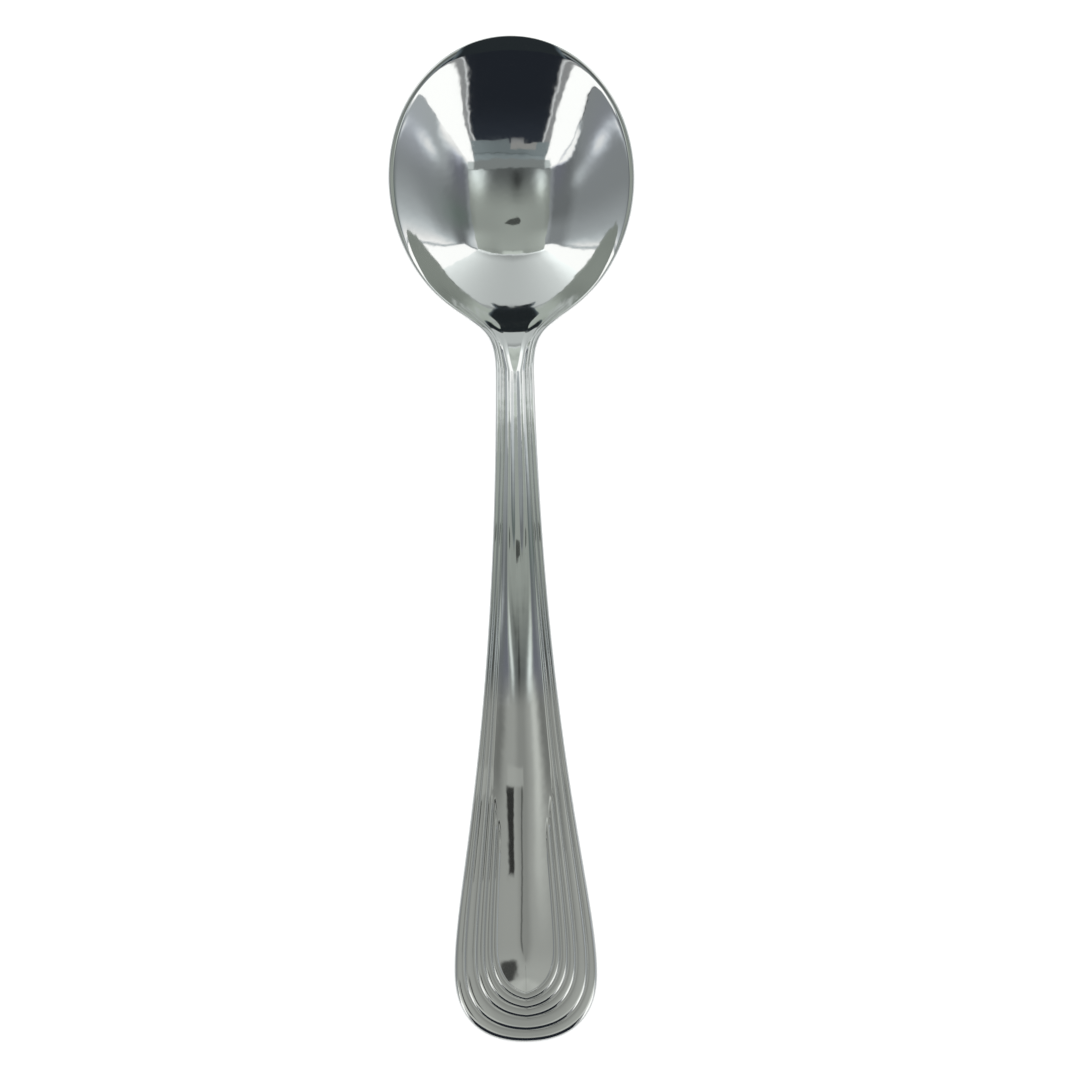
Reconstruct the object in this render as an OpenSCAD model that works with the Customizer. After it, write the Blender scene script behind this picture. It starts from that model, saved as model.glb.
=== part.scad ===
// Soup spoon of polished stainless steel, pressed from one strip: bowl, neck and handle are one piece.
// It lies bowl up. +Y runs from the end of the handle to the tip of the bowl, +Z is up, X is across,
// and the origin is under the middle of its length and width, on the surface that it lies on.
// Stations are distances from the end of the handle. Places on the surface are found on ribs, straight
// lines that run from the outline in to the centre line, and are given as distances in from the edge.

/* [Outline] */
// length over all
spoon_length = 158; // [120:1:200]
// width of the bowl at its widest
bowl_width = 38.5; // [28:0.1:50]
// widest part of the bowl to its tip
tip_reach = 21.9; // [16:0.1:30]
// widest part of the bowl to where its egg would close at the neck
heel_reach = 23.4; // [17:0.1:32]
// where the shoulder leaves the egg, as a share of a quarter turn from the widest part
shoulder_turn_share = 0.622; // [0.5:0.001:0.75]
// run of the shoulder's curve along the egg
shoulder_run = 6.6; // [4:0.1:9]
// run of the shoulder's curve along the neck
neck_run = 7.3; // [4:0.1:10]
// width of the neck at its narrowest
neck_width = 6; // [4.5:0.1:9]
// station of the neck's narrowest part
neck_station = 105.7; // [80:0.1:130]
// width of the handle at its broad end
handle_width = 22.5; // [16:0.1:30]
// station of the handle's widest part
broad_station = 11.2; // [7:0.1:16]

/* [Side view] */
// rise of the handle from its end, as a share of its run
end_rise_share = 0.244; // [0.1:0.001:0.35]
// turn of the arch, as a share of its run
arch_turn_share = 0.545; // [0.4:0.001:0.8]
// station where the arch turns fastest
arch_station = 78.6; // [60:0.1:100]
// spread of the arch's turn
arch_spread = 9.5; // [6:0.1:18]
// turn from the neck up into the rim, as a share of its run
heel_turn_share = 0.256; // [0.15:0.001:0.6]
// station of that turn
heel_station = 111.5; // [90:0.1:130]
// spread of that turn
heel_spread = 2.2; // [1:0.1:5]
// turn of the rim up to the tip of the bowl, as a share of its run
tip_turn_share = 0.283; // [0:0.001:0.5]
// station of that turn
tip_turn_station = 135.4; // [120:0.1:150]
// spread of that turn
tip_turn_spread = 8; // [3:0.5:12]

/* [Bowl] */
// depth of the hollow below the rim
bowl_depth = 8.24; // [5:0.01:14]
// how much deeper the hollow is on the handle's side, as a share of its depth
heel_depth_share = 0.43; // [0:0.001:0.5]
// share of the hollow's cross section that steepens towards the rim, from the widest part to the tip
bowl_round_share = 0.01; // [0:0.005:0.5]
// the same at the neck
heel_round_share = 0.127; // [0:0.001:0.5]
// how much fuller the hollow is near the tip, as a share of its depth
tip_full_share = 0.16; // [0:0.01:0.5]
// the same near the neck
heel_full_share = 0.27; // [0:0.01:0.5]
// how far the hollow runs on into the neck, past the egg
tongue_run = 1.2; // [0:0.1:3]
// thickness of the steel at the bottom of the bowl
bowl_wall = 1.45; // [0.8:0.05:2.5]

/* [Thickness] */
// thickness of the rim and of the handle's edges
edge_thickness = 1.2; // [0.8:0.05:2.5]
// depth of the edge's fullest point below the top
edge_drop = 0.55; // [0.3:0.05:1.2]
// how much thicker the middle is than the edges, at the handle's end
end_belly = 0.35; // [0.1:0.05:1.5]
// the same at the neck
neck_belly = 1.3; // [0.3:0.05:2.5]
// depth of the small flats that the bowl and the handle's end rest on
rest_flat = 0.12; // [0.02:0.01:0.3]

/* [Border and reeds] */
// width of the border at the handle's end, as a share of the rib
border_end_share = 0.155; // [0.08:0.005:0.25]
// the same halfway
border_mid_share = 0.125; // [0.08:0.005:0.25]
// the same at the neck, which is also the width of the bowl's rim
border_neck_share = 0.285; // [0.2:0.005:0.4]
// second groove at the handle's end, as a share of the rib
groove_end_share = 0.315; // [0.27:0.005:0.4]
// the same halfway
groove_mid_share = 0.285; // [0.26:0.005:0.4]
// the same at the neck
groove_neck_share = 0.43; // [0.41:0.005:0.6]
// depth of the grooves
groove_depth = 0.2; // [0.05:0.01:0.5]
// station where the smooth panel among the reeds is full width
panel_station = 28.6; // [20:0.1:35]
// station where the spine covers the last reed
spine_station = 44.8; // [36:0.1:60]

/* [Spine] */
// height of the panel's middle above the border
panel_height = 0.45; // [0.1:0.05:1.5]
// height of the spine above the border at its fullest
spine_height = 1; // [0.3:0.05:2]
// roundness of the spine's crest, as a share of its half width
crest_round_share = 0.5; // [0.2:0.05:2]
// height of the neck's two ridges above the valleys beside them
ridge_height = 0.42; // [0.1:0.05:1]
// station where the spine splits into the two ridges
split_station = 90.5; // [75:0.5:100]
// station where the ridges run out in the bowl
ridge_end_station = 116; // [108:0.5:125]

/* [Hidden] */

steel = [0.72, 0.73, 0.72];

// ribs on each stretch of half the outline: round the handle's end, along the handle, round the
// shoulder, up the side of the bowl to its widest part, and on to its tip
rib_counts = [12, 28, 14, 9, 13];
rib_count = rib_counts[0] + rib_counts[1] + rib_counts[2] + rib_counts[3] + rib_counts[4];
quarter = 90;

half_bowl = bowl_width / 2;
half_neck = neck_width / 2;
half_handle = handle_width / 2;
widest_station = spoon_length - tip_reach;
shoulder_turn = -shoulder_turn_share * quarter;

// handles of the two curves of the handle's outline, as shares of their stretch
corner_flat_share = 0.75;
corner_side_share = 0.53;
side_low_share = 0.14;
side_high_share = 0.377;
side_taper_share = 0.105;

// where the ribs meet the centre line
fan_station = 1.15 * half_handle;
side_lean = fan_station / 2;
heel_target = widest_station - 0.42 * heel_reach;
widest_target = widest_station + 0.05 * tip_reach;
tip_target = widest_station + 0.56 * tip_reach;

// edges of the three inner reeds, as shares of the rib beyond the second groove
reed_shares = [0.16, 0.31, 0.44];
// least height of a cross section of the hollow that its steep part is measured by, as a share of the depth
least_left_share = 0.1;
// width of the rounding at the edge, as a share of the border
round_share = 0.45;

// points across the edge's rounding, each band and the middle, as shares of their widths
edge_shares = [0, 0.3, 1];
border_shares = [0.6, 0.88, 1];
band_shares = [0.13, 0.5, 0.87, 1];
middle_shares = [0.06, 0.16, 0.3, 0.45, 0.6, 0.75, 0.9];
under_shares = [0.25, 0.5, 0.75, 0.9];

function mix(a, b, t) = a + (b - a) * t;
function ease(t) = let (u = min(1, max(0, t))) u * u * (3 - 2 * u);
function bezier(a, b, c, d, t) =
    a * pow(1 - t, 3) + b * 3 * pow(1 - t, 2) * t + c * 3 * (1 - t) * t * t + d * pow(t, 3);

// An egg is v * v plus (x / half width) squared equal to 1. v is 1 at the tip, 0 at the widest part and
// -1 at the heel, and it is linear plus square in the distance u along the spoon from the widest part.
function egg_linear(tip, heel) = (heel * heel + tip * tip) / (tip * heel * (tip + heel));
function egg_square(tip, heel) = (heel - tip) / (tip * heel * (tip + heel));
function egg_v(u, tip, heel) = egg_linear(tip, heel) * u + egg_square(tip, heel) * u * u;
function egg_u(v, tip, heel) = let (m = egg_linear(tip, heel), n = egg_square(tip, heel))
    2 * v / (m + sqrt(m * m + 4 * n * v));
function on_egg(turn) =
    [half_bowl * cos(turn), widest_station + egg_u(sin(turn), tip_reach, heel_reach)];

// The outline, as [x, station], and the station where each rib meets the centre line.
joint = on_egg(shoulder_turn);
joint_step = on_egg(shoulder_turn + 0.01 * shoulder_turn) - joint;
joint_handle = joint + joint_step / norm(joint_step) * shoulder_run;
broad = [half_handle, broad_station];
side_span = neck_station - broad_station;
side_handle = [mix(half_neck, half_handle, side_taper_share), broad_station + side_high_share * side_span];

function end_rib(t) = [
    bezier([0, 0], [corner_flat_share * half_handle, 0],
        [half_handle, broad_station * (1 - corner_side_share)], broad, t),
    mix(fan_station, broad_station + side_lean, t)];
function side_rib(t) =
    let (p = bezier(broad, broad + [0, side_low_share * side_span], side_handle,
        [half_neck, neck_station], t))
    [p, p[1] + side_lean * pow(1 - t, 3)];
function shoulder_rib(t) = [
    bezier([half_neck, neck_station], [half_neck, neck_station + neck_run], joint_handle, joint, t),
    mix(neck_station, heel_target, pow(t, 1.4))];
function heel_rib(t) = [on_egg(shoulder_turn * (1 - t)), mix(heel_target, widest_target, t)];
function tip_rib(t) = [on_egg(quarter * t), mix(widest_target, tip_target, t)];

ribs = concat(
    [for (i = [0 : rib_counts[0] - 1]) end_rib(i / rib_counts[0])],
    [for (i = [0 : rib_counts[1] - 1]) side_rib(i / rib_counts[1])],
    [for (i = [0 : rib_counts[2] - 1]) shoulder_rib(i / rib_counts[2])],
    [for (i = [0 : rib_counts[3] - 1]) heel_rib(i / rib_counts[3])],
    [for (i = [0 : rib_counts[4] - 1]) tip_rib(i / rib_counts[4])],
    [[[0, spoon_length], tip_target]]);

// The side view of the top edge: a straight rise, the arch's turn down, and the turns up at the heel and
// towards the tip. Each turn is spread out smoothly about its station.
function turned(s, station, spread) = spread * ln(1 + exp((s - station) / spread));
function edge_line(s) = end_rise_share * s - arch_turn_share * turned(s, arch_station, arch_spread)
    + heel_turn_share * turned(s, heel_station, heel_spread)
    + tip_turn_share * turned(s, tip_turn_station, tip_turn_spread);

// The hollow: full depth in the middle, nothing beyond the rim, and rounded where it meets the rim.
function above_zero(f, softness) = (f + sqrt(f * f + softness * softness)) / 2;
function hollow(x, s, half, tip, heel, depth, softness) = let (
    u = max(s - widest_station, -1.4 * heel),
    v = egg_v(u, tip, heel),
    left = 1 - v * v,
    out = pow(x / half, 2),
    steep = mix(bowl_round_share, heel_round_share, min(1, max(0, -v))),
    fuller = 1 + (v > 0 ? tip_full_share : heel_full_share) * v * v,
    fall = left - (1 - steep) * out - steep * out * out / max(left, least_left_share))
    depth * (1 - heel_depth_share * v) * above_zero(fuller * fall, softness);
rim_width = border_neck_share * half_neck;
function softness(s) = mix(0.1, 0.04, ease((s - heel_station) / tongue_run / 6));
function inside(x, s) = hollow(x, s, half_bowl - rim_width, tip_reach - rim_width,
    heel_reach + tongue_run, bowl_depth, softness(s));
function outside(x, s) = hollow(x, s, half_bowl, tip_reach,
    heel_reach + tongue_run, bowl_depth + bowl_wall - edge_thickness, softness(s));

// A value that goes from the handle's end by way of its middle to the neck, and stays.
middle_station = neck_station / 2;
function along(s, end, middle, neck) = s < middle_station
    ? mix(end, middle, ease(s / middle_station))
    : mix(middle, neck, ease((s - middle_station) / (neck_station - middle_station)));

// Distances in from the edge where the border, the second groove and the three reeds end. Past the neck
// they keep the widths that they have there.
function past_neck(rib) = rib[0][1] > neck_station;
function rib_length(rib) = norm([rib[0][0], rib[0][1] - rib[1]]);
function bands(rib) = let (
    span = past_neck(rib) ? half_neck : rib_length(rib),
    border = span * along(rib[1], border_end_share, border_mid_share, border_neck_share),
    groove = span * along(rib[1], groove_end_share, groove_mid_share, groove_neck_share))
    concat([border, groove], [for (share = reed_shares) groove + share * (span - groove)]);

// Height above the edge line, without the hollow, at a distance in from the edge. Each band is flat with
// rounded sides down to the grooves, and the spine or the ridges rise out of them.
function band_height(t, power) = -groove_depth * pow(abs(2 * t - 1), power);
function reeds(d, ends, edge) =
    d < edge ? -edge_drop * (1 - sqrt(1 - pow(1 - d / edge, 2)))
    : d < ends[0] ? -groove_depth * pow((d - edge) / (ends[0] - edge), 5)
    : d < ends[1] ? band_height((d - ends[0]) / (ends[1] - ends[0]), 6)
    : d < ends[2] ? band_height((d - ends[1]) / (ends[2] - ends[1]), 4)
    : d < ends[3] ? band_height((d - ends[2]) / (ends[3] - ends[2]), 4)
    : d < ends[4] ? band_height((d - ends[3]) / (ends[4] - ends[3]), 4)
    : -groove_depth;
function spine(d, ends, rib) = let (
    risen = ease((rib[1] - panel_station) / (spine_station - panel_station)),
    start = mix(ends[4], ends[1], risen),
    height = mix(panel_height, spine_height, risen),
    far = (rib_length(rib) - d) / (rib_length(rib) - start),
    crest = crest_round_share)
    height - (height + groove_depth) * (norm([far, crest]) - crest) / (norm([1, crest]) - crest);
function ridge(d, ends, rib) = let (
    far = (d - ends[4]) / (ends[4] - ends[1]),
    left = 1 - ease((rib[0][1] - neck_station) / (ridge_end_station - neck_station)))
    -groove_depth + ridge_height * left * pow(max(0, 1 - far * far), 1.5);
function rim(d, ends, edge) = d < edge ? reeds(d, ends, edge) : 0;
function height(d, ends, rib) = let (
    edge = round_share * ends[0],
    split = ease((rib[1] - middle_station) / (split_station - middle_station)),
    ending = ease((rib[0][1] - neck_station) / (ridge_end_station - neck_station)),
    high = max(reeds(d, ends, edge), spine(d, ends, rib)),
    low = d < ends[1] ? reeds(d, ends, edge) : ridge(d, ends, rib))
    mix(mix(high, low, split), max(rim(d, ends, edge), low), ending);

// Points of one rib, from the centre line over the top to the edge and back below. The first and last
// lie on the centre line.
function on_rib(rib, d, z) = let (t = d / rib_length(rib))
    [mix(rib[0][0], 0, t), mix(rib[0][1], rib[1], t), z];
function top_point(rib, ends, d) = let (p = on_rib(rib, d, 0))
    [p[0], p[1], edge_line(p[1]) + height(d, ends, rib) - inside(p[0], p[1])];
function belly(rib) = mix(along(rib[1], end_belly, end_belly, neck_belly), 0,
    ease((rib[1] - neck_station) / (widest_target - neck_station)));
function under_point(rib, ends, d) = let (
    p = on_rib(rib, d, 0),
    edge = round_share * ends[0],
    drop = d < edge ? mix(edge_drop, edge_thickness, sqrt(1 - pow(1 - d / edge, 2))) : edge_thickness,
    far = 1 - d / rib_length(rib))
    [p[0], p[1], edge_line(p[1]) - drop - belly(rib) * (1 - far * far) - outside(p[0], p[1])];
function top_cuts(rib, ends) = let (edge = round_share * ends[0]) concat(
    [for (t = edge_shares) edge * t],
    [for (t = border_shares) mix(edge, ends[0], t)],
    [for (band = [0 : 3]) for (t = band_shares) mix(ends[band], ends[band + 1], t)],
    [for (t = middle_shares) mix(ends[4], rib_length(rib), t)]);
function under_cuts(rib, ends) = let (edge = round_share * ends[0]) concat(
    [edge * 0.3, edge], [for (t = under_shares) mix(edge, rib_length(rib), t)]);
function rib_points(rib) = let (ends = bands(rib), tops = top_cuts(rib, ends)) concat(
    [for (k = [len(tops) - 1 : -1 : 0]) top_point(rib, ends, tops[k])],
    [for (d = under_cuts(rib, ends)) under_point(rib, ends, d)]);

// The skin: the ribs of one side, the same ribs mirrored, and two lines of points on the centre line
// that both sides share. Its lowest places are cut off flat.
half_skin = [for (rib = ribs) rib_points(rib)];
depth_count = len(half_skin[0]);
ring_count = 2 * rib_count;
mirror_skin = [for (i = [rib_count - 1 : -1 : 1]) [for (p = half_skin[i]) [-p[0], p[1], p[2]]]];
own_points = [for (line = concat(half_skin, mirror_skin)) each line];
top_line = [for (rib = ribs) top_point(rib, bands(rib), rib_length(rib))];
under_line = [for (rib = ribs) under_point(rib, bands(rib), rib_length(rib))];
round_points = concat(own_points, top_line, under_line);
floor_z = min([for (p = round_points) p[2]]) + rest_flat;
skin_points = [for (p = round_points) [p[0], p[1], max(p[2], floor_z)]];

function mirrored(ring) = min(ring, ring_count - ring);
function point_index(ring, k) =
    k == 0 ? ring_count * depth_count + mirrored(ring)
    : k > depth_count ? ring_count * depth_count + rib_count + 1 + mirrored(ring)
    : (ring % ring_count) * depth_count + k - 1;
function patch(ring, k) = let (
    a = point_index(ring, k), b = point_index(ring + 1, k),
    c = point_index(ring + 1, k + 1), d = point_index(ring, k + 1),
    right = ring < rib_count,
    by_handle = min(ring, ring_count - 1 - ring) < rib_count / 2,
    above = k < depth_count / 2)
    right == (by_handle == above) ? [[a, b, c], [a, c, d]] : [[a, b, d], [b, c, d]];
skin_faces = [for (ring = [0 : ring_count - 1]) for (k = [0 : depth_count]) each patch(ring, k)];

// Each patch between two ribs is cut along the diagonal that never joins two points of the centre line.
module spoon() {
    color(steel)
    translate([0, -spoon_length / 2, -floor_z])
    polyhedron(points = skin_points, faces = skin_faces, convexity = 6);
}

spoon();
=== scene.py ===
"""A soup spoon of polished stainless steel, lying bowl up on white, looked at from straight above."""
import math

import bpy
import numpy as np
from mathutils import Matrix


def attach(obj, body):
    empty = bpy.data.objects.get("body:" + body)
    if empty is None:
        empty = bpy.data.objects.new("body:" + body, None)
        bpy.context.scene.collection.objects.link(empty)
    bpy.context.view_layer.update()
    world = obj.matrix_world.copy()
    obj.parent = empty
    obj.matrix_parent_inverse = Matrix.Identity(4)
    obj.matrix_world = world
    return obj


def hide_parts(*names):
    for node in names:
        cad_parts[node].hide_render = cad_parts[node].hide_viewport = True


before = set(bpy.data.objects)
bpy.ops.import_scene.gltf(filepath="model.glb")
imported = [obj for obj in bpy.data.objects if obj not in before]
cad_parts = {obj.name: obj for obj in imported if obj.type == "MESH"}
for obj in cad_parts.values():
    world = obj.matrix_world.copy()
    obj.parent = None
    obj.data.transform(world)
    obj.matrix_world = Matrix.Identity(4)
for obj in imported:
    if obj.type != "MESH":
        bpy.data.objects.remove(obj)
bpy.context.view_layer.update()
scene = bpy.context.scene
scene.view_settings.view_transform = "Standard"

# Camera
# The photograph looks straight down from just under a metre, with the spoon turned by a degree, so that
# the end of the handle lies to the right of the tip of the bowl. The width of the view is the one at the
# height of the rim.
spoon_turn = math.radians(1.035)
view_centre, view_width = (0.00345, 0.00033), 0.16937
rim_height, camera_distance = 0.008, 0.9
sensor_width = 36

camera = bpy.data.objects.new("camera", bpy.data.cameras.new("camera"))
scene.collection.objects.link(camera)
camera.location = (*view_centre, camera_distance + rim_height)
camera.rotation_euler = (0, 0, -spoon_turn)
camera.data.sensor_fit = "HORIZONTAL"
camera.data.sensor_width = sensor_width
camera.data.lens = sensor_width * camera_distance / view_width
camera.data.clip_start = 0.05
camera.data.clip_end = 20
scene.camera = camera

# The blank
# A spoon is one strip of stainless steel. It is rolled out broad and thin at both ends, and its outline
# is cut: a broad egg for the bowl, a narrow neck, and a handle that widens to a rounded end.

# All lengths of the spoon are in millimetres here, and its mesh is scaled to metres at the end. A
# station is a distance along the spoon from the end of the handle.
spoon_length = 158.0
half_bowl, half_neck, half_handle = 38.5 / 2, 6.0 / 2, 22.5 / 2
tip_reach, heel_reach = 21.9, 23.4
shoulder_turn = -0.622 * math.pi / 2
shoulder_run, neck_run = 6.6, 7.3
neck_station, broad_station = 105.7, 11.2
widest_station = spoon_length - tip_reach
side_span = neck_station - broad_station

# Shares of their stretch that the curves of the handle's end and side reach out by, and how much further
# the egg is followed to find its direction at the shoulder.
corner_flat_share, corner_rise_share = 0.75, 0.47
side_low_share, side_high_share, side_taper_share = 0.14, 0.377, 0.105
further = 1.01

# Stations of the centre line that the straight ribs of the skin run to, and the power that they move on
# with round the shoulder.
fan_station = 1.15 * half_handle
side_lean = fan_station / 2
heel_target = widest_station - 0.42 * heel_reach
widest_target = widest_station + 0.05 * tip_reach
tip_target = widest_station + 0.56 * tip_reach
shoulder_power = 1.4


def mix(a, b, t):
    """The value that is the share t of the way from a to b."""
    return a + (b - a) * t


def ease(t):
    """A smooth step: t kept between 0 and 1, then three times its square less twice its cube."""
    u = np.clip(t, 0, 1)
    return u * u * (3 - 2 * u)


def bent(a, b, c, d, t):
    """A cubic curve from a to d that leaves towards b and arrives from c, each weighted by the powers of
    t and 1 - t that add up to 3."""
    t = t[:, None]
    a, b, c, d = (np.asarray(p, float) for p in (a, b, c, d))
    return a * (1 - t) ** 3 + 3 * b * (1 - t) ** 2 * t + 3 * c * (1 - t) * t ** 2 + d * t ** 3


def egg_slopes(tip, heel):
    """The two factors that turn a distance u from the widest part into v: linear times u plus square
    times u squared is 1 at the tip and -1 at the heel."""
    across = tip * heel * (tip + heel)
    return (heel ** 2 + tip ** 2) / across, (heel - tip) / across


def on_egg(turn):
    """Points of the bowl's outline, an egg: half the width times the cosine of the turn across, and along
    it the distance whose v is the sine of the turn."""
    linear, square = egg_slopes(tip_reach, heel_reach)
    v = np.sin(turn)
    along_egg = 2 * v / (linear + np.sqrt(linear ** 2 + 4 * square * v))
    return np.stack([half_bowl * np.cos(turn), widest_station + along_egg], -1)


def half_outline(counts):
    """Half the outline as points (across, station), and for each the station of the centre line that a
    straight rib runs to from it. The stretches are the handle's end, its side, the shoulder, the heel
    and the tip of the bowl. The ribs fan out at the handle's end and in the bowl."""
    end, side, shoulder, heel, tip = (np.arange(n) / n for n in counts)
    joint, beyond = on_egg(np.array([shoulder_turn, further * shoulder_turn]))
    lead = joint + (beyond - joint) / np.linalg.norm(beyond - joint) * shoulder_run
    broad, neck = np.array([half_handle, broad_station]), np.array([half_neck, neck_station])
    flat, corner = [corner_flat_share * half_handle, 0], [half_handle, corner_rise_share * broad_station]
    taper = [mix(half_neck, half_handle, side_taper_share), broad_station + side_high_share * side_span]
    side_points = bent(broad, broad + [0, side_low_share * side_span], taper, neck, side)
    outline = np.concatenate([
        bent([0, 0], flat, corner, broad, end), side_points,
        bent(neck, neck + [0, neck_run], lead, joint, shoulder),
        on_egg(shoulder_turn * (1 - heel)), on_egg(math.pi / 2 * tip), [[0, spoon_length]]])
    targets = np.concatenate([
        mix(fan_station, broad_station + side_lean, end),
        side_points[:, 1] + side_lean * (1 - side) ** 3,
        mix(neck_station, heel_target, shoulder ** shoulder_power),
        mix(heel_target, widest_target, heel), mix(widest_target, tip_target, tip), [tip_target]])
    return outline, targets


# The bend of the spoon
# The blank is pressed between two dies. The handle rises in an arch and dips at the neck, and the bowl is
# drawn down behind it, deepest on the handle's side, with a rim that the hollow runs into smoothly.
end_rise_share = 0.244
arch_turn_share, arch_station, arch_spread = 0.545, 78.6, 9.5
heel_turn_share, heel_station, heel_spread = 0.256, 111.5, 2.2
tip_turn_share, tip_turn_station, tip_turn_spread = 0.283, 135.4, 8
bowl_depth, heel_depth_share = 8.24, 0.43
bowl_round_share, heel_round_share = 0.01, 0.127
tip_full_share, heel_full_share = 0.16, 0.27

# The hollow runs on into the neck as a short tongue. Its rounding at the rim changes to the neck's within
# six tongues. Its formula is followed no further than the heel limit, and its steep part is measured by no
# less than the least share of the depth.
tongue_run, softening_tongues = 1.2, 6
bowl_softness, neck_softness = 0.1, 0.04
heel_limit, least_left_share = 1.4, 0.1


def turned(s, station, spread):
    """A line that is level before a station and rises one for one after it, with the bend spread out:
    the spread times the logarithm of 1 plus the exponential of the distance in spreads."""
    return spread * np.logaddexp(0, (s - station) / spread)


def edge_line(s):
    """Height of the top edge: a straight rise, less the arch's turn down, plus the turns up at the heel and
    towards the tip of the bowl."""
    handle = end_rise_share * s - arch_turn_share * turned(s, arch_station, arch_spread)
    return (handle + heel_turn_share * turned(s, heel_station, heel_spread)
            + tip_turn_share * turned(s, tip_turn_station, tip_turn_spread))


def hollow(x, s, half, tip, heel, depth):
    """Depth of the bowl's hollow: full in the middle of its egg and nothing outside. Along the spoon it
    falls off with the square of v and gets fuller again towards both ends. Across, it falls off with the
    square and the fourth power of the way out, and it is rounded off where it meets the rim."""
    linear, square = egg_slopes(tip, heel)
    u = np.maximum(s - widest_station, -heel_limit * heel)
    v = linear * u + square * u * u
    left, out = 1 - v * v, (x / half) ** 2
    steep = mix(bowl_round_share, heel_round_share, np.clip(-v, 0, 1))
    fall = left - (1 - steep) * out - steep * out ** 2 / np.maximum(left, least_left_share)
    fall = fall * (1 + np.where(v > 0, tip_full_share, heel_full_share) * v * v)
    soft = mix(bowl_softness, neck_softness, ease((s - heel_station) / tongue_run / softening_tongues))
    return depth * (1 - heel_depth_share * v) * (fall + np.sqrt(fall ** 2 + soft ** 2)) / 2


# The border, the reeds and the spine
# The dies also press the pattern of the handle: a raised border, two grooves and a nest of reeds round
# a smooth panel, and a full spine that splits into two ridges at the neck.
groove_depth, edge_drop = 0.2, 0.55
panel_station, panel_height = 28.6, 0.45
spine_run, spine_height, crest_round_share = 16.2, 1.0, 0.5
split_station, ridge_end_station, ridge_height, ridge_power = 90.5, 116.0, 0.42, 1.5
middle_station = neck_station / 2

# Shares of the rib where the border and the second groove end, at the handle's end, halfway and at the
# neck, and shares of the rest of the rib where the three reeds end. A band falls to its grooves with the
# higher power, the flatter it is.
border_shares, groove_shares = (0.155, 0.125, 0.285), (0.315, 0.285, 0.43)
reed_shares = (0.16, 0.31, 0.44)
border_power, band_powers = 5, (6, 4, 4, 4)


def along(s, end, middle, neck):
    """A value that eases from the handle's end by way of its middle to the neck, and stays."""
    to_middle = mix(end, middle, ease(s / middle_station))
    to_neck = mix(middle, neck, ease((s - middle_station) / (neck_station - middle_station)))
    return np.where(s < middle_station, to_middle, to_neck)


def band_edges(outline, targets, lengths):
    """Distances in from the edge, one row for each rib, where the border, the second groove and the three
    reeds end: shares of the rib, and past the neck of the neck's half width."""
    span = np.where(outline[:, 1] > neck_station, half_neck, lengths)
    border = span * along(targets, *border_shares)
    groove = span * along(targets, *groove_shares)
    return np.stack([border, groove] + [mix(groove, span, share) for share in reed_shares], -1)


def reeds(d, ends, edge):
    """Height of the pattern at a distance d in from the edge: a quarter round at the edge, then bands that
    are flat in the middle and fall to the grooves with a high power of the distance from it."""
    out = -edge_drop * (1 - np.sqrt(np.clip(1 - (1 - np.minimum(d / edge, 1)) ** 2, 0, 1)))
    into_border = np.clip((d - edge) / (ends[0] - edge), 0, 1)
    out = np.where(d > edge, -groove_depth * into_border ** border_power, out)
    for start, stop, power in zip(ends[:4], ends[1:], band_powers):
        t = np.clip((d - start) / (stop - start), 0, 1)
        out = np.where(d > start, -groove_depth * np.abs(2 * t - 1) ** power, out)
    return np.where(d > ends[4], -groove_depth, out)


def pattern(d, ends, edge, length, station, target):
    """Height of the top above the edge line, without the hollow. Across the spine it falls off as a
    hyperbola, straight on the flanks and rounded at the crest. The ridges are rounded bumps beside the
    centre line, and both ease into the bare rim of the bowl."""
    risen = ease((target - panel_station) / spine_run)
    start = mix(ends[4], ends[1], risen)
    rise = mix(panel_height, spine_height, risen)
    crest = crest_round_share
    far = (np.hypot((length - d) / (length - start), crest) - crest) / (math.hypot(1, crest) - crest)
    spine = rise - (rise + groove_depth) * far
    left = 1 - ease((station - neck_station) / (ridge_end_station - neck_station))
    bump = np.maximum(0, 1 - ((d - ends[4]) / (ends[4] - ends[1])) ** 2) ** ridge_power
    ridge = -groove_depth + ridge_height * left * bump
    flat = reeds(d, ends, edge)
    low = np.where(d < ends[1], flat, ridge)
    split = ease((target - middle_station) / (split_station - middle_station))
    rim = np.where(d < edge, flat, 0)
    return mix(mix(np.maximum(flat, spine), low, split), np.maximum(rim, low), 1 - left)


def bell(n):
    """n shares of a width, from just above 0 to 1, closer together at both ends."""
    return (1 - np.cos(np.pi * np.arange(1, n + 1) / n)) / 2


# The skin
# Top and underside meet in the rounded edge. The steel is thickest at the neck, where the spoon bends
# in use, and thin at the rim and at the end of the handle. Two small flats below let it lie still.
bowl_wall, edge_thickness = 1.45, 1.2
end_belly, neck_belly = 0.35, 1.3
rest_flat = 0.12
rim_width = border_shares[2] * half_neck

# Ribs on each stretch of half the outline, the share of the border that the edge's rounding takes, and
# the cuts across the rounding, each band and the middle, above and below.
stretch_counts = (56, 110, 60, 40, 66)
round_share = 0.45
edge_cuts, band_cuts, middle_cuts = 7, 8, 46
under_edge_cuts, under_middle_cuts = 5, 24
edge_power, middle_power = 1.6, 1.05

outline, targets = half_outline(stretch_counts)
rib_count = len(outline) - 1
lengths = np.hypot(outline[:, 0], outline[:, 1] - targets)
ends = [column[:, None] for column in band_edges(outline, targets, lengths).T]
edge = round_share * ends[0]
length, station, target = lengths[:, None], outline[:, 1:], targets[:, None]


def even(n, power=1):
    """n even shares of a width, from just above 0 to 1, which a power above 1 draws towards 0."""
    return np.linspace(0, 1, n + 1)[1:] ** power


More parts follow.
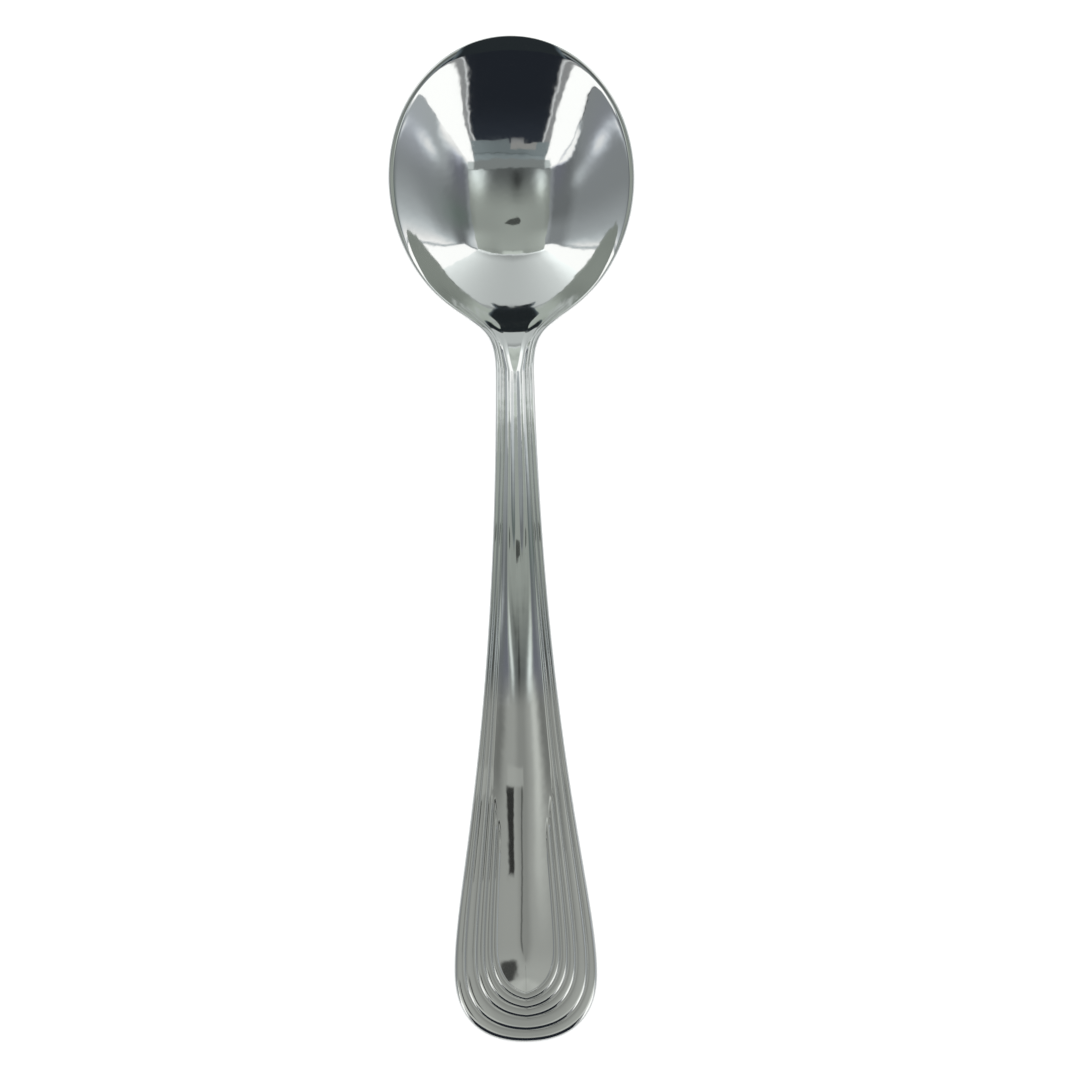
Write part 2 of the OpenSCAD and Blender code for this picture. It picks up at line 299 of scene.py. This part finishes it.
top_cuts = np.concatenate(
    [0 * edge, edge * even(edge_cuts, edge_power), mix(edge, ends[0], bell(band_cuts))]
    + [mix(start, stop, bell(band_cuts)) for start, stop in zip(ends[:4], ends[1:])]
    + [mix(ends[4], length, even(middle_cuts, middle_power))], axis=1)
under_cuts = np.concatenate(
    [edge * even(under_edge_cuts, edge_power), mix(edge, length, even(under_middle_cuts))], axis=1)


def on_ribs(d):
    """Places (across, station) at distances d in from the edge, on straight ribs to the centre line."""
    t = d / length
    return outline[:, :1] * (1 - t), mix(station, target, t)


x, s = on_ribs(top_cuts)
top_z = edge_line(s) + pattern(top_cuts, ends, edge, length, station, target)
top_z -= hollow(x, s, half_bowl - rim_width, tip_reach - rim_width, heel_reach + tongue_run, bowl_depth)
top = np.stack([x, s, top_z], -1)

x, s = on_ribs(under_cuts)
drop = mix(edge_drop, edge_thickness, np.sqrt(1 - (1 - np.minimum(under_cuts / edge, 1)) ** 2))
fade = 1 - ease((target - neck_station) / (widest_target - neck_station))
belly = along(target, end_belly, end_belly, neck_belly) * fade
under_z = edge_line(s) - drop - belly * (1 - (1 - under_cuts / length) ** 2)
under_z -= hollow(
    x, s, half_bowl, tip_reach, heel_reach + tongue_run, bowl_depth + bowl_wall - edge_thickness)
under = np.stack([x, s, under_z], -1)

# One row for each rib, from the centre line over the top to the edge and back below to the centre line.
# The other half is the same rows mirrored, and the two halves share the points on the centre line.
rows = np.concatenate([top[:, ::-1], under], axis=1)
rows[:, [0, -1], 0] = 0
row_length = rows.shape[1]
mirrored = rows[rib_count - 1:0:-1] * [-1, 1, 1]
points = np.concatenate([rows, mirrored]).reshape(-1, 3)
ring = np.arange(2 * rib_count)
index = ring[:, None] * row_length + np.arange(row_length)
other = 2 * rib_count - ring[rib_count + 1:]
index[rib_count + 1:, [0, -1]] = other[:, None] * row_length + [0, row_length - 1]
after = np.roll(index, -1, axis=0)
a, b, c, d = index[:, :-1], after[:, :-1], after[:, 1:], index[:, 1:]

# Each patch is cut along the diagonal that never joins two points of the centre line.
on_right = ring[:, None] < rib_count
by_handle = np.minimum(ring, 2 * rib_count - 1 - ring)[:, None] < rib_count / 2
above = np.arange(row_length - 1) < row_length / 2
cut = (on_right == (by_handle == above))[..., None]
triangles = np.concatenate([
    np.where(cut, np.stack([a, b, c], -1), np.stack([a, b, d], -1)),
    np.where(cut, np.stack([a, c, d], -1), np.stack([b, c, d], -1))]).reshape(-1, 3)

# The points that no triangle uses go, the spoon's middle goes over the origin, and it sinks by the depth
# of the flats, which are cut off below.
used, triangles = np.unique(triangles, return_inverse=True)
points = points[used] - [0, spoon_length / 2, points[used, 2].min() + rest_flat]
points[:, 2] = np.maximum(points[:, 2], 0)
spoon_mesh = bpy.data.meshes.new("polished_spoon")
spoon_mesh.from_pydata((points / 1000).tolist(), [], triangles.reshape(-1, 3).tolist())
spoon_mesh.polygons.foreach_set("use_smooth", np.ones(len(spoon_mesh.polygons), bool))
spoon_mesh.update()
spoon = bpy.data.objects.new("polished_spoon", spoon_mesh)
scene.collection.objects.link(spoon)
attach(spoon, "root")
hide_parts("spoon")

# The polish
# The whole spoon is buffed to a mirror. The buff leaves slow waves in the surface, and use leaves a haze
# of fine scratches that run mostly along the spoon.
darker_steel, lighter_steel = (0.70, 0.715, 0.70, 1), (0.74, 0.748, 0.735, 1)
clearest, haziest = 0.035, 0.075
wave_strength, wave_height = 0.03, 0.001

# Fineness and detail of the noise behind the tint, the haze and the waves, and how much finer the haze is
# across the spoon than along it. Noise mostly stays between the low and the high value.
tint_cloud, haze_cloud, wave_cloud = (60, 3), (900, 4, (3, 1, 3)), (260, 2)
cloud_low, cloud_high = 0.3, 0.7

polish = bpy.data.materials.new("mirror_polished_steel")
polish.use_nodes = True
nodes, links = polish.node_tree.nodes, polish.node_tree.links
steel = nodes["Principled BSDF"]
steel.inputs["Metallic"].default_value = 1.0
place = nodes.new("ShaderNodeTexCoord").outputs["Object"]


def noise(scale, detail, stretch=(1, 1, 1)):
    """A cloudy pattern of a given fineness in the spoon's own coordinates, finer along the axes that are
    stretched."""
    mapping = nodes.new("ShaderNodeMapping")
    mapping.inputs["Scale"].default_value = stretch
    links.new(place, mapping.inputs["Vector"])
    cloud = nodes.new("ShaderNodeTexNoise")
    cloud.inputs["Scale"].default_value = scale
    cloud.inputs["Detail"].default_value = detail
    links.new(mapping.outputs["Vector"], cloud.inputs["Vector"])
    return cloud.outputs["Fac"]


def ranged(value, low, high):
    """A pattern's middle range stretched to run from low to high."""
    spread = nodes.new("ShaderNodeMapRange")
    spread.inputs["From Min"].default_value = cloud_low
    spread.inputs["From Max"].default_value = cloud_high
    spread.inputs["To Min"].default_value = low
    spread.inputs["To Max"].default_value = high
    links.new(value, spread.inputs["Value"])
    return spread.outputs["Result"]


tint = nodes.new("ShaderNodeMix")
tint.data_type = "RGBA"
tint.inputs["A"].default_value = darker_steel
tint.inputs["B"].default_value = lighter_steel
links.new(noise(*tint_cloud), tint.inputs["Factor"])
links.new(tint.outputs["Result"], steel.inputs["Base Color"])
links.new(ranged(noise(*haze_cloud), clearest, haziest), steel.inputs["Roughness"])
waves = nodes.new("ShaderNodeBump")
waves.inputs["Strength"].default_value = wave_strength
waves.inputs["Distance"].default_value = wave_height
links.new(noise(*wave_cloud), waves.inputs["Height"])
links.new(waves.outputs["Normal"], steel.inputs["Normal"])
spoon_mesh.materials.append(polish)

# The table
# A plain white sheet, which keeps the spoon's soft shadow. To the camera it is white, and to the steel a
# little less, so that the edge and the underside stand out from it.
table_half = 1.6
sheet_glow, mirrored_share = 0.75, 0.55
table_mesh = bpy.data.meshes.new("white_table")
table_mesh.from_pydata(
    [(-table_half, -table_half, 0), (table_half, -table_half, 0), (table_half, table_half, 0),
     (-table_half, table_half, 0)], [], [(0, 1, 2, 3)])
white_table = bpy.data.objects.new("white_table", table_mesh)
scene.collection.objects.link(white_table)
sheet = bpy.data.materials.new("white_sheet")
sheet.use_nodes = True
nodes, links = sheet.node_tree.nodes, sheet.node_tree.links
paper = nodes["Principled BSDF"]
paper.inputs["Base Color"].default_value = (0.8, 0.8, 0.8, 1)
paper.inputs["Roughness"].default_value = 0.9
paper.inputs["Emission Color"].default_value = (1, 1, 1, 1)
rays = nodes.new("ShaderNodeLightPath").outputs


def worked(operation, first, second):
    """The product or the greater of two values. The first is a socket, the second a socket or a number."""
    math_node = nodes.new("ShaderNodeMath")
    math_node.operation = operation
    links.new(first, math_node.inputs[0])
    if isinstance(second, float):
        math_node.inputs[1].default_value = second
    else:
        links.new(second, math_node.inputs[1])
    return math_node.outputs["Value"]


seen = worked("MAXIMUM", rays["Is Camera Ray"], worked("MULTIPLY", rays["Is Glossy Ray"], mirrored_share))
links.new(worked("MULTIPLY", seen, sheet_glow), paper.inputs["Emission Strength"])
table_mesh.materials.append(sheet)

# The light
# The spoon lies in a tent of white cloth. Its walls are glowing sheets with the light painted into their
# colours: white where lamps would stand behind the cloth and grey between them, a dark room painted where
# the front would hang open, and a dark slit painted in the roof for the camera. The walls show in the steel
# as painted reflections and light the table, and the camera looks past them.
tent_shift, tent_half = 0.0196, 0.347
tent_front, tent_back, tent_height = -0.324, 0.299, 0.5
cloth_grid = 201
lit_white, corner_white, edge_white = 1.36, 1.34, 1.25
plain = (1.0, 1.0, 1.0)

# The shades count from the middle of the tent. Left and right are those of someone in it who faces the
# open front: x runs to the left and q to the right. The folds and edges of the hanging cloth are points
# (height, place), joined by straight lines.
right_corner_edge = ((0.24, -0.24), (0.29, -0.178), (0.33, -0.188), (0.37, -0.203), (0.41, -0.226),
                     (0.45, -0.236), (0.5, -0.26))
right_corner_fold = ((0.19, -0.326), (0.23, -0.286), (0.294, -0.237), (0.4, -0.234), (0.5, -0.27))
left_room_edge = ((0.175, -0.106), (0.25, -0.153), (0.3, -0.181), (0.36, -0.197))
left_curtain_edge = ((0.175, -0.144), (0.306, -0.213), (0.375, -0.234), (0.462, -0.269), (0.5, -0.278))
right_room_edge = ((0.175, 0.181), (0.27, 0.2), (0.31, 0.203), (0.385, 0.215))
right_curtain_edge = ((0.2, 0.225), (0.262, 0.238), (0.325, 0.255), (0.387, 0.27), (0.444, 0.287),
                      (0.5, 0.3))


def step(value, low, high):
    """0 below low, 1 above high, and a smooth step between them."""
    return ease((value - low) / (high - low))


def spot(across, along_wall, centre, size):
    """A soft patch: 1 at its centre, falling off as a bell in both directions with the given sizes."""
    return np.exp(-((across - centre[0]) / size[0]) ** 2 - ((along_wall - centre[1]) / size[1]) ** 2)


def stripe(value, middle, size):
    """A soft stripe: 1 along its middle, falling off as a bell with the given size to both sides."""
    return np.exp(-((value - middle) / size) ** 2)


def patch(across, along_wall, sides, ends, soft):
    """A patch with four straight edges: 1 inside, 0 outside, and a smooth step at the edges."""
    from_sides = np.minimum(across - sides[0], sides[1] - across)
    from_ends = np.minimum(ends[1] - along_wall, along_wall - ends[0])
    return step(np.minimum(from_ends, from_sides), -soft, soft)


def hanging(z, points):
    """The place of a fold or an edge at each height, on straight lines between the points on it."""
    heights, places = zip(*points)
    return np.interp(z, heights, places)


def tinted(brightness, colour):
    """A brightness at each point of a wall, as a colour."""
    return brightness[..., None] * np.array(colour)


def roof_shade(x, y, z):
    """Grey, darkest in front of the middle and lighter to the sides, with darker back corners, a glow at
    each front side, a lintel along the front, a pale edge over the middle of the back, and for the camera a
    dark slit like a drop with paler cloth round it."""
    q = -x
    out = np.abs(q) / tent_half
    cloth = 0.13 + 0.25 * step(y, -0.25, 0.0) + 0.04 * step(y, 0.08, 0.2) - 0.06 * step(y, 0.24, 0.3)
    cloth = cloth + 0.1 * step(y, -0.25, -0.3) + 0.1 * out ** 2 * step(y, -0.05, -0.25)
    cloth = cloth - 0.12 * spot(q, y, (0.064, -0.16), (0.05, 0.09)) + 0.15 * out ** 2 * step(y, 0.1, 0.2)
    back_corners = step(np.abs(q), 0.05, 0.16) * step(y, 0.13, 0.27)
    cloth = cloth - (0.04 + 0.04 * step(q, 0, -0.05)) * back_corners
    cloth = cloth * (1 - 0.2 * step(out, 0.82, 1) * stripe(y, 0.03, 0.1))
    right_glow = spot(q, y, (0.262, -0.172), (0.052, 0.085)) * step(y, -0.262, -0.244)
    left_glow = spot(q, y, (-0.262, -0.225), (0.075, 0.115)) * step(y, -0.262, -0.25)
    lintel = 0.27 + 0.4 * step(np.abs(q - 0.01), 0.28, 0.3)
    cloth = mix(cloth + 0.7 * right_glow + 0.85 * left_glow, lintel, step(y, -0.258, -0.266))
    back_edge = step(y, 0.266, 0.284) * step(np.abs(q - 0.02), 0.11, 0.07)
    cloth = cloth + 0.03 * step(y, 0.16, 0.26) + 0.32 * back_edge
    along_slit = np.clip((q + 0.05) / 0.142, 0, 1)
    half_slit = 0.012 + 0.036 * np.sqrt(along_slit * (1 - along_slit ** 6))
    from_slit = half_slit - np.abs(y - 0.062 + 0.012 * along_slit)
    cloth = cloth + 0.04 * spot(q, y, (0.03, 0.055), (0.11, 0.1))
    cloth = mix(cloth, 0.09, step(from_slit, 0.013, 0.019))
    back, front = (0.92, 1.0, 0.93), (0.92, 1.0, 1.0)
    return tinted(cloth, back) + tinted(cloth * step(y, -0.05, -0.27), np.subtract(front, back))


def back_shade(x, y, z):
    """A soft grey in the middle, paler to the sides, most on the right, darker under the roof, with a glow
    along the edge of the roof and a painted dark band along its foot behind the table, for the steel to
    mirror."""
    cloth = 0.62 + 0.45 * (np.abs(x) / 0.32) ** 2 + 0.22 * step(-x, 0.23, 0.33) - 0.27 * step(z, 0.36, 0.5)
    cloth = cloth + 0.45 * step(z, 0.46, 0.485)
    # A painted dark band along the foot of the wall, there only as a dark reflection in the steel.
    painted_dark_foot = mix(0.045, 0.22, step(np.abs(x), 0.06, 0.09)) * step(np.abs(x), 0.3, 0.2)
    cloth = mix(cloth, painted_dark_foot, step(z, 0.061, 0.055) * step(np.abs(x), 0.24, 0.18))
    return tinted(cloth, (0.95, 1.0, 1.0))


def left_side(y, z):
    """The left wall's grey, without its back corner, and the place of the seam before that corner. It is
    paler below and in front, and glows near the table before the seam, under the roof at the back, in a
    patch in front and in the front corner."""
    seam = 0.185 + 0.07 * z + 0.55 * np.maximum(z - 0.34, 0)
    reach = 0.03 + 0.04 * step(z, 0.22, 0.1)
    cloth = 0.19 + 0.1 * step(z, 0.36, 0.2) + 0.2 * step(y, -0.02, -0.2) * step(z, 0.38, 0.28)
    cloth = cloth + 0.12 * step(z, 0.43, 0.49) + 0.55 * step(y, 0.1, 0.23) * step(z, 0.34, 0.45)
    cloth = cloth + 0.5 * spot(y, z, (-0.163, 0.208), (0.035, 0.04))
    cloth = cloth + 1.0 * step(z, 0.31, 0.2) * np.exp(-np.maximum(seam - y, 0) / reach)
    corner_size = mix(0.07, 0.035, step(z, 0.38, 0.46))
    return cloth + 0.85 * (step(z, 0.235, 0.3) * stripe(y, tent_front, corner_size)), seam


def right_side(y, z):
    """The right wall's grey, without its back corner, and the place of the seam before that corner. It is
    paler below and at the back, and glows near the table before the seam and in two patches. In front
    hangs a pale edge of cloth, and before it a white fold with a dark edge."""
    seam = 0.192 + 0.055 * z + 0.25 * np.maximum(z - 0.4, 0)
    cloth = 0.19 + 0.1 * step(z, 0.31, 0.22) + 0.1 * step(y, 0.03, 0.14) + 0.12 * step(z, 0.43, 0.49)
    cloth = cloth + 0.65 * spot(y, z, (-0.115, 0.158), (0.035, 0.035))
    cloth = cloth + 0.25 * spot(y, z, (-0.07, 0.235), (0.035, 0.05))
    cloth = cloth + 1.0 * step(z, 0.33, 0.12) * np.exp(-np.maximum(seam - y, 0) / 0.022)
    edge = hanging(z, right_corner_edge)
    cloth = mix(cloth, edge_white, step(edge - y, -0.014, 0.014) * step(z, 0.225, 0.26))
    fold = hanging(z, right_corner_fold)
    cloth = mix(cloth, lit_white, step(fold - y, -0.003, 0.003))
    return cloth - 0.5 * step(np.abs(y - fold), 0.012, 0.003) * step(z, 0.42, 0.36), seam


def side_shade(x, y, z):
    """The left or the right side, with a white back corner behind a grey seam. The grey cloth is slightly
    green in one place on the left and slightly blue in two places, and the white is plain."""
    left = step(x, -0.1, 0.1)
    (left_cloth, left_seam), (right_cloth, right_seam) = left_side(y, z), right_side(y, z)
    cloth = mix(right_cloth, left_cloth, left)
    seam = mix(right_seam, left_seam, left)
    cloth = mix(cloth, corner_white, step(y, seam, seam + 0.006))
    seam_width = mix(0.008, 0.014, step(z, 0.25, 0.4))
    cloth = mix(cloth, 0.3 + 0.25 * step(z, 0.3, 0.2), step(np.abs(y - seam), seam_width, 0.002))
    green = 0.1 * left * spot(y, z, (0.05, 0.35), (0.07, 0.12))
    blue = 0.14 * spot(y, z, (-0.2, 0.4), (0.12, 0.07)) + 0.06 * spot(y, z, (-0.15, 0.15), (0.1, 0.07))
    tones = 1 + tinted(green, (-1.2, 0, -1)) + tinted(blue, (0.2, 0, 1))
    toned = tinted(cloth, (0.93, 1.0, 1.04)) * tones
    return mix(toned, tinted(cloth, plain), step(cloth, 0.6, 1.1)[..., None])


def front_shade(x, y, z):
    """White curtains on both sides with grey rolled hems, a grey lintel with a thin dark fold and a paler
    tab that hangs from it, and below it the dark room, painted as dark shade on the closed wall where an
    opening would show it, wider at the top."""
    q = -x
    soft = 0.003
    foot = mix(0.367, 0.387, step(q, 0.0, 0.02))
    left_room, right_room = hanging(z, left_room_edge), hanging(z, right_room_edge)
    lintel = 0.22 + 0.07 * step(z, 0.45, 0.49) + 0.06 * step(np.abs(q), 0.05, 0.25)
    lintel = lintel - 0.12 * step(np.abs(z - (0.457 + 0.04 * q)), 0.005, 0.001)
    tab_foot = foot - np.maximum(0.03 * step(q, 0.105, 0.1), 0.0001)
    tab = step(z, tab_foot, foot) * step(z, 0.424, 0.42) * step(q, 0.02, 0.024) * step(q, 0.19, 0.186)
    below = step(z, foot + soft, foot - soft)
    # The dark room is painted shade on the closed front wall.
    room = mix(0.022, 0.034, step(z, 0.22, 0.36))
    in_room = below * step(q, left_room - soft, left_room + soft)
    in_room = in_room * step(q, right_room + soft, right_room - soft) * (1 - tab)
    from_hem = np.minimum(np.abs(q - left_room + 0.006), np.abs(q - right_room - 0.01))
    hem = 0.32 + 0.55 * step(from_hem, 0.006, 0.001)
    curtain = np.maximum(hanging(z, left_curtain_edge) - q, q - hanging(z, right_curtain_edge))
    shade = tinted(lintel, (0.85, 1.0, 1.05))
    shade = mix(shade, tinted(np.full_like(x, 0.36), (1.02, 1.0, 0.97)), 0.8 * tab[..., None])
    shade = mix(shade, tinted(hem, (0.98, 1.0, 1.02)), below[..., None])
    shade = mix(shade, tinted(room, (0.82, 1.0, 1.35)), in_room[..., None])
    return mix(shade, tinted(np.full_like(x, lit_white), plain), step(curtain, -0.004, 0.004)[..., None])


def tent_wall(name, corner, across, up, shade, fade=0):
    """One flat wall of the tent, a grid from a corner along two of its edges. Each point glows with the
    colour that the wall's shade gives at its place from the middle of the tent. A fade is the share of the
    wall that thins out towards its second edge's end."""
    u, v = np.meshgrid(np.linspace(0, 1, cloth_grid), np.linspace(0, 1, cloth_grid), indexing="ij")
    places = np.array(corner) + u[..., None] * np.array(across) + v[..., None] * np.array(up)
    colours = np.ones((cloth_grid, cloth_grid, 4))
    colours[..., :3] = shade(places[..., 0], places[..., 1], places[..., 2])
    colours[..., 3] = 1 if fade == 0 else step(v, 1, 1 - fade)
    numbers = np.arange(cloth_grid ** 2).reshape(cloth_grid, cloth_grid)
    squares = np.stack([numbers[:-1, :-1], numbers[1:, :-1], numbers[1:, 1:], numbers[:-1, 1:]], -1)
    mesh = bpy.data.meshes.new(name)
    mesh.from_pydata(
        (places + [tent_shift, 0, 0]).reshape(-1, 3).tolist(), [], squares.reshape(-1, 4).tolist())
    mesh.color_attributes.new("glow", "FLOAT_COLOR", "POINT").data.foreach_set("color", colours.ravel())
    wall = bpy.data.objects.new(name, mesh)
    scene.collection.objects.link(wall)
    wall.visible_camera = False
    cloth = bpy.data.materials.new(name)
    cloth.use_nodes = True
    cloth.cycles.emission_sampling = "NONE"
    nodes, links = cloth.node_tree.nodes, cloth.node_tree.links
    nodes.clear()
    painted = nodes.new("ShaderNodeAttribute")
    painted.attribute_name = "glow"
    light = nodes.new("ShaderNodeEmission")
    output = nodes.new("ShaderNodeOutputMaterial")
    links.new(painted.outputs["Color"], light.inputs["Color"])
    if fade == 0:
        links.new(light.outputs["Emission"], output.inputs["Surface"])
    else:
        thinned = nodes.new("ShaderNodeMixShader")
        links.new(painted.outputs["Alpha"], thinned.inputs["Fac"])
        links.new(nodes.new("ShaderNodeBsdfTransparent").outputs["BSDF"], thinned.inputs[1])
        links.new(light.outputs["Emission"], thinned.inputs[2])
        links.new(thinned.outputs["Shader"], output.inputs["Surface"])
    mesh.materials.append(cloth)
    return wall


left_front, right_front = (tent_half, tent_front, 0), (-tent_half, tent_front, 0)
width, depth, height = (2 * tent_half, 0, 0), (0, tent_back - tent_front, 0), (0, 0, tent_height)
tent_wall("tent_roof", (-tent_half, tent_front, tent_height), width, depth, roof_shade)
tent_wall("tent_back", (-tent_half, tent_back, 0), width, height, back_shade)
tent_wall("tent_left", left_front, depth, height, side_shade)
tent_wall("tent_right", right_front, depth, height, side_shade)
tent_wall("tent_front", right_front, width, height, front_shade)

# The cards
# A small grey card hangs just above the end of the handle, so that the steel there mirrors an even grey
# in place of the front of the tent, with dark marks painted on it as reflections for that end. A smaller
# dark one over the tip of the bowl shows in its heel as a painted dark reflection. Only the steel sees
# them.
grey_half, grey_front, grey_length, grey_height, grey_fade = 0.05, -0.112, 0.087, 0.032, 0.12
dark_half, dark_front, dark_length, dark_height = 0.008, 0.0725, 0.0115, 0.015
patch_soft, line_soft = 0.0008, 0.0006


def grey_card_shade(x, y, z):
    """An even light grey, lighter in a strip on the left and to the front, with two soft darker strips
    further out. On the right are a dark patch with a pale one behind it, a thin line and a dark end. All
    of it is a painted reflection for the end of the handle."""
    x = x + tent_shift
    out = np.abs(x)
    card = 0.31 + 0.1 * step(out, 0.03, 0.015) * step(out, 0.002, 0.01) + 0.06 * step(y, -0.08, -0.095)
    card = card + 0.12 * step(y, -0.097, -0.103) + 0.4 * step(y, -0.09, -0.1) * step(out, 0.014, 0.03)
    card = card + 0.26 * stripe(x, 0.0145, 0.0032) * step(y, -0.085, -0.05)
    card = card - 0.18 * stripe(out, 0.0195, 0.003) * step(y, -0.068, -0.045)
    slant = 0.15 * (y + 0.052)
    card = mix(card, 0.04, patch(x, y, (-0.0145, slant - 0.0088), (-0.067, -0.052), line_soft))
    card = mix(card, 0.5, 0.6 * patch(x, y, (-0.014, 0.001), (-0.0515, -0.046), patch_soft))
    from_line = np.abs(x + 0.0005 - slant) - line_soft
    card = card - 0.17 * step(from_line, line_soft, 0) * step(y, -0.083, -0.081) * step(y, -0.05, -0.053)
    card = mix(card, 0.07, patch(x, y, (-0.0165, -0.011), (-0.098, -0.087), patch_soft))
    return tinted(card, (0.97, 1.0, 0.95))


def dark_card_shade(x, y, z):
    """Nearly black, and dark grey along its left and right edges. It is a painted dark reflection, which
    the heel of the bowl mirrors.
    """
    return tinted(mix(0.17, 0.03, step(np.abs(x + tent_shift), dark_half, 0.0068)), (0.8, 1.0, 1.15))


grey_card = tent_wall(
    "handle_card", (-grey_half - tent_shift, grey_front, grey_height), (2 * grey_half, 0, 0),
    (0, grey_length, 0), grey_card_shade, grey_fade)
# The dark card is a painted dark reflection for the heel of the bowl.
dark_card = tent_wall(
    "tip_card", (-dark_half - tent_shift, dark_front, dark_height), (2 * dark_half, 0, 0),
    (0, dark_length, 0), dark_card_shade)
for card in (grey_card, dark_card):
    card.visible_diffuse = False
    card.visible_shadow = False

# The room
# Past the edge of the table everything is plain white. The tent hides it from the spoon, so only views
# from the side show it.
world = bpy.data.worlds.new("white_room")
scene.world = world
world.use_nodes = True
world.node_tree.nodes["Background"].inputs["Color"].default_value = (1, 1, 1, 1)
world.node_tree.nodes["Background"].inputs["Strength"].default_value = 1.0
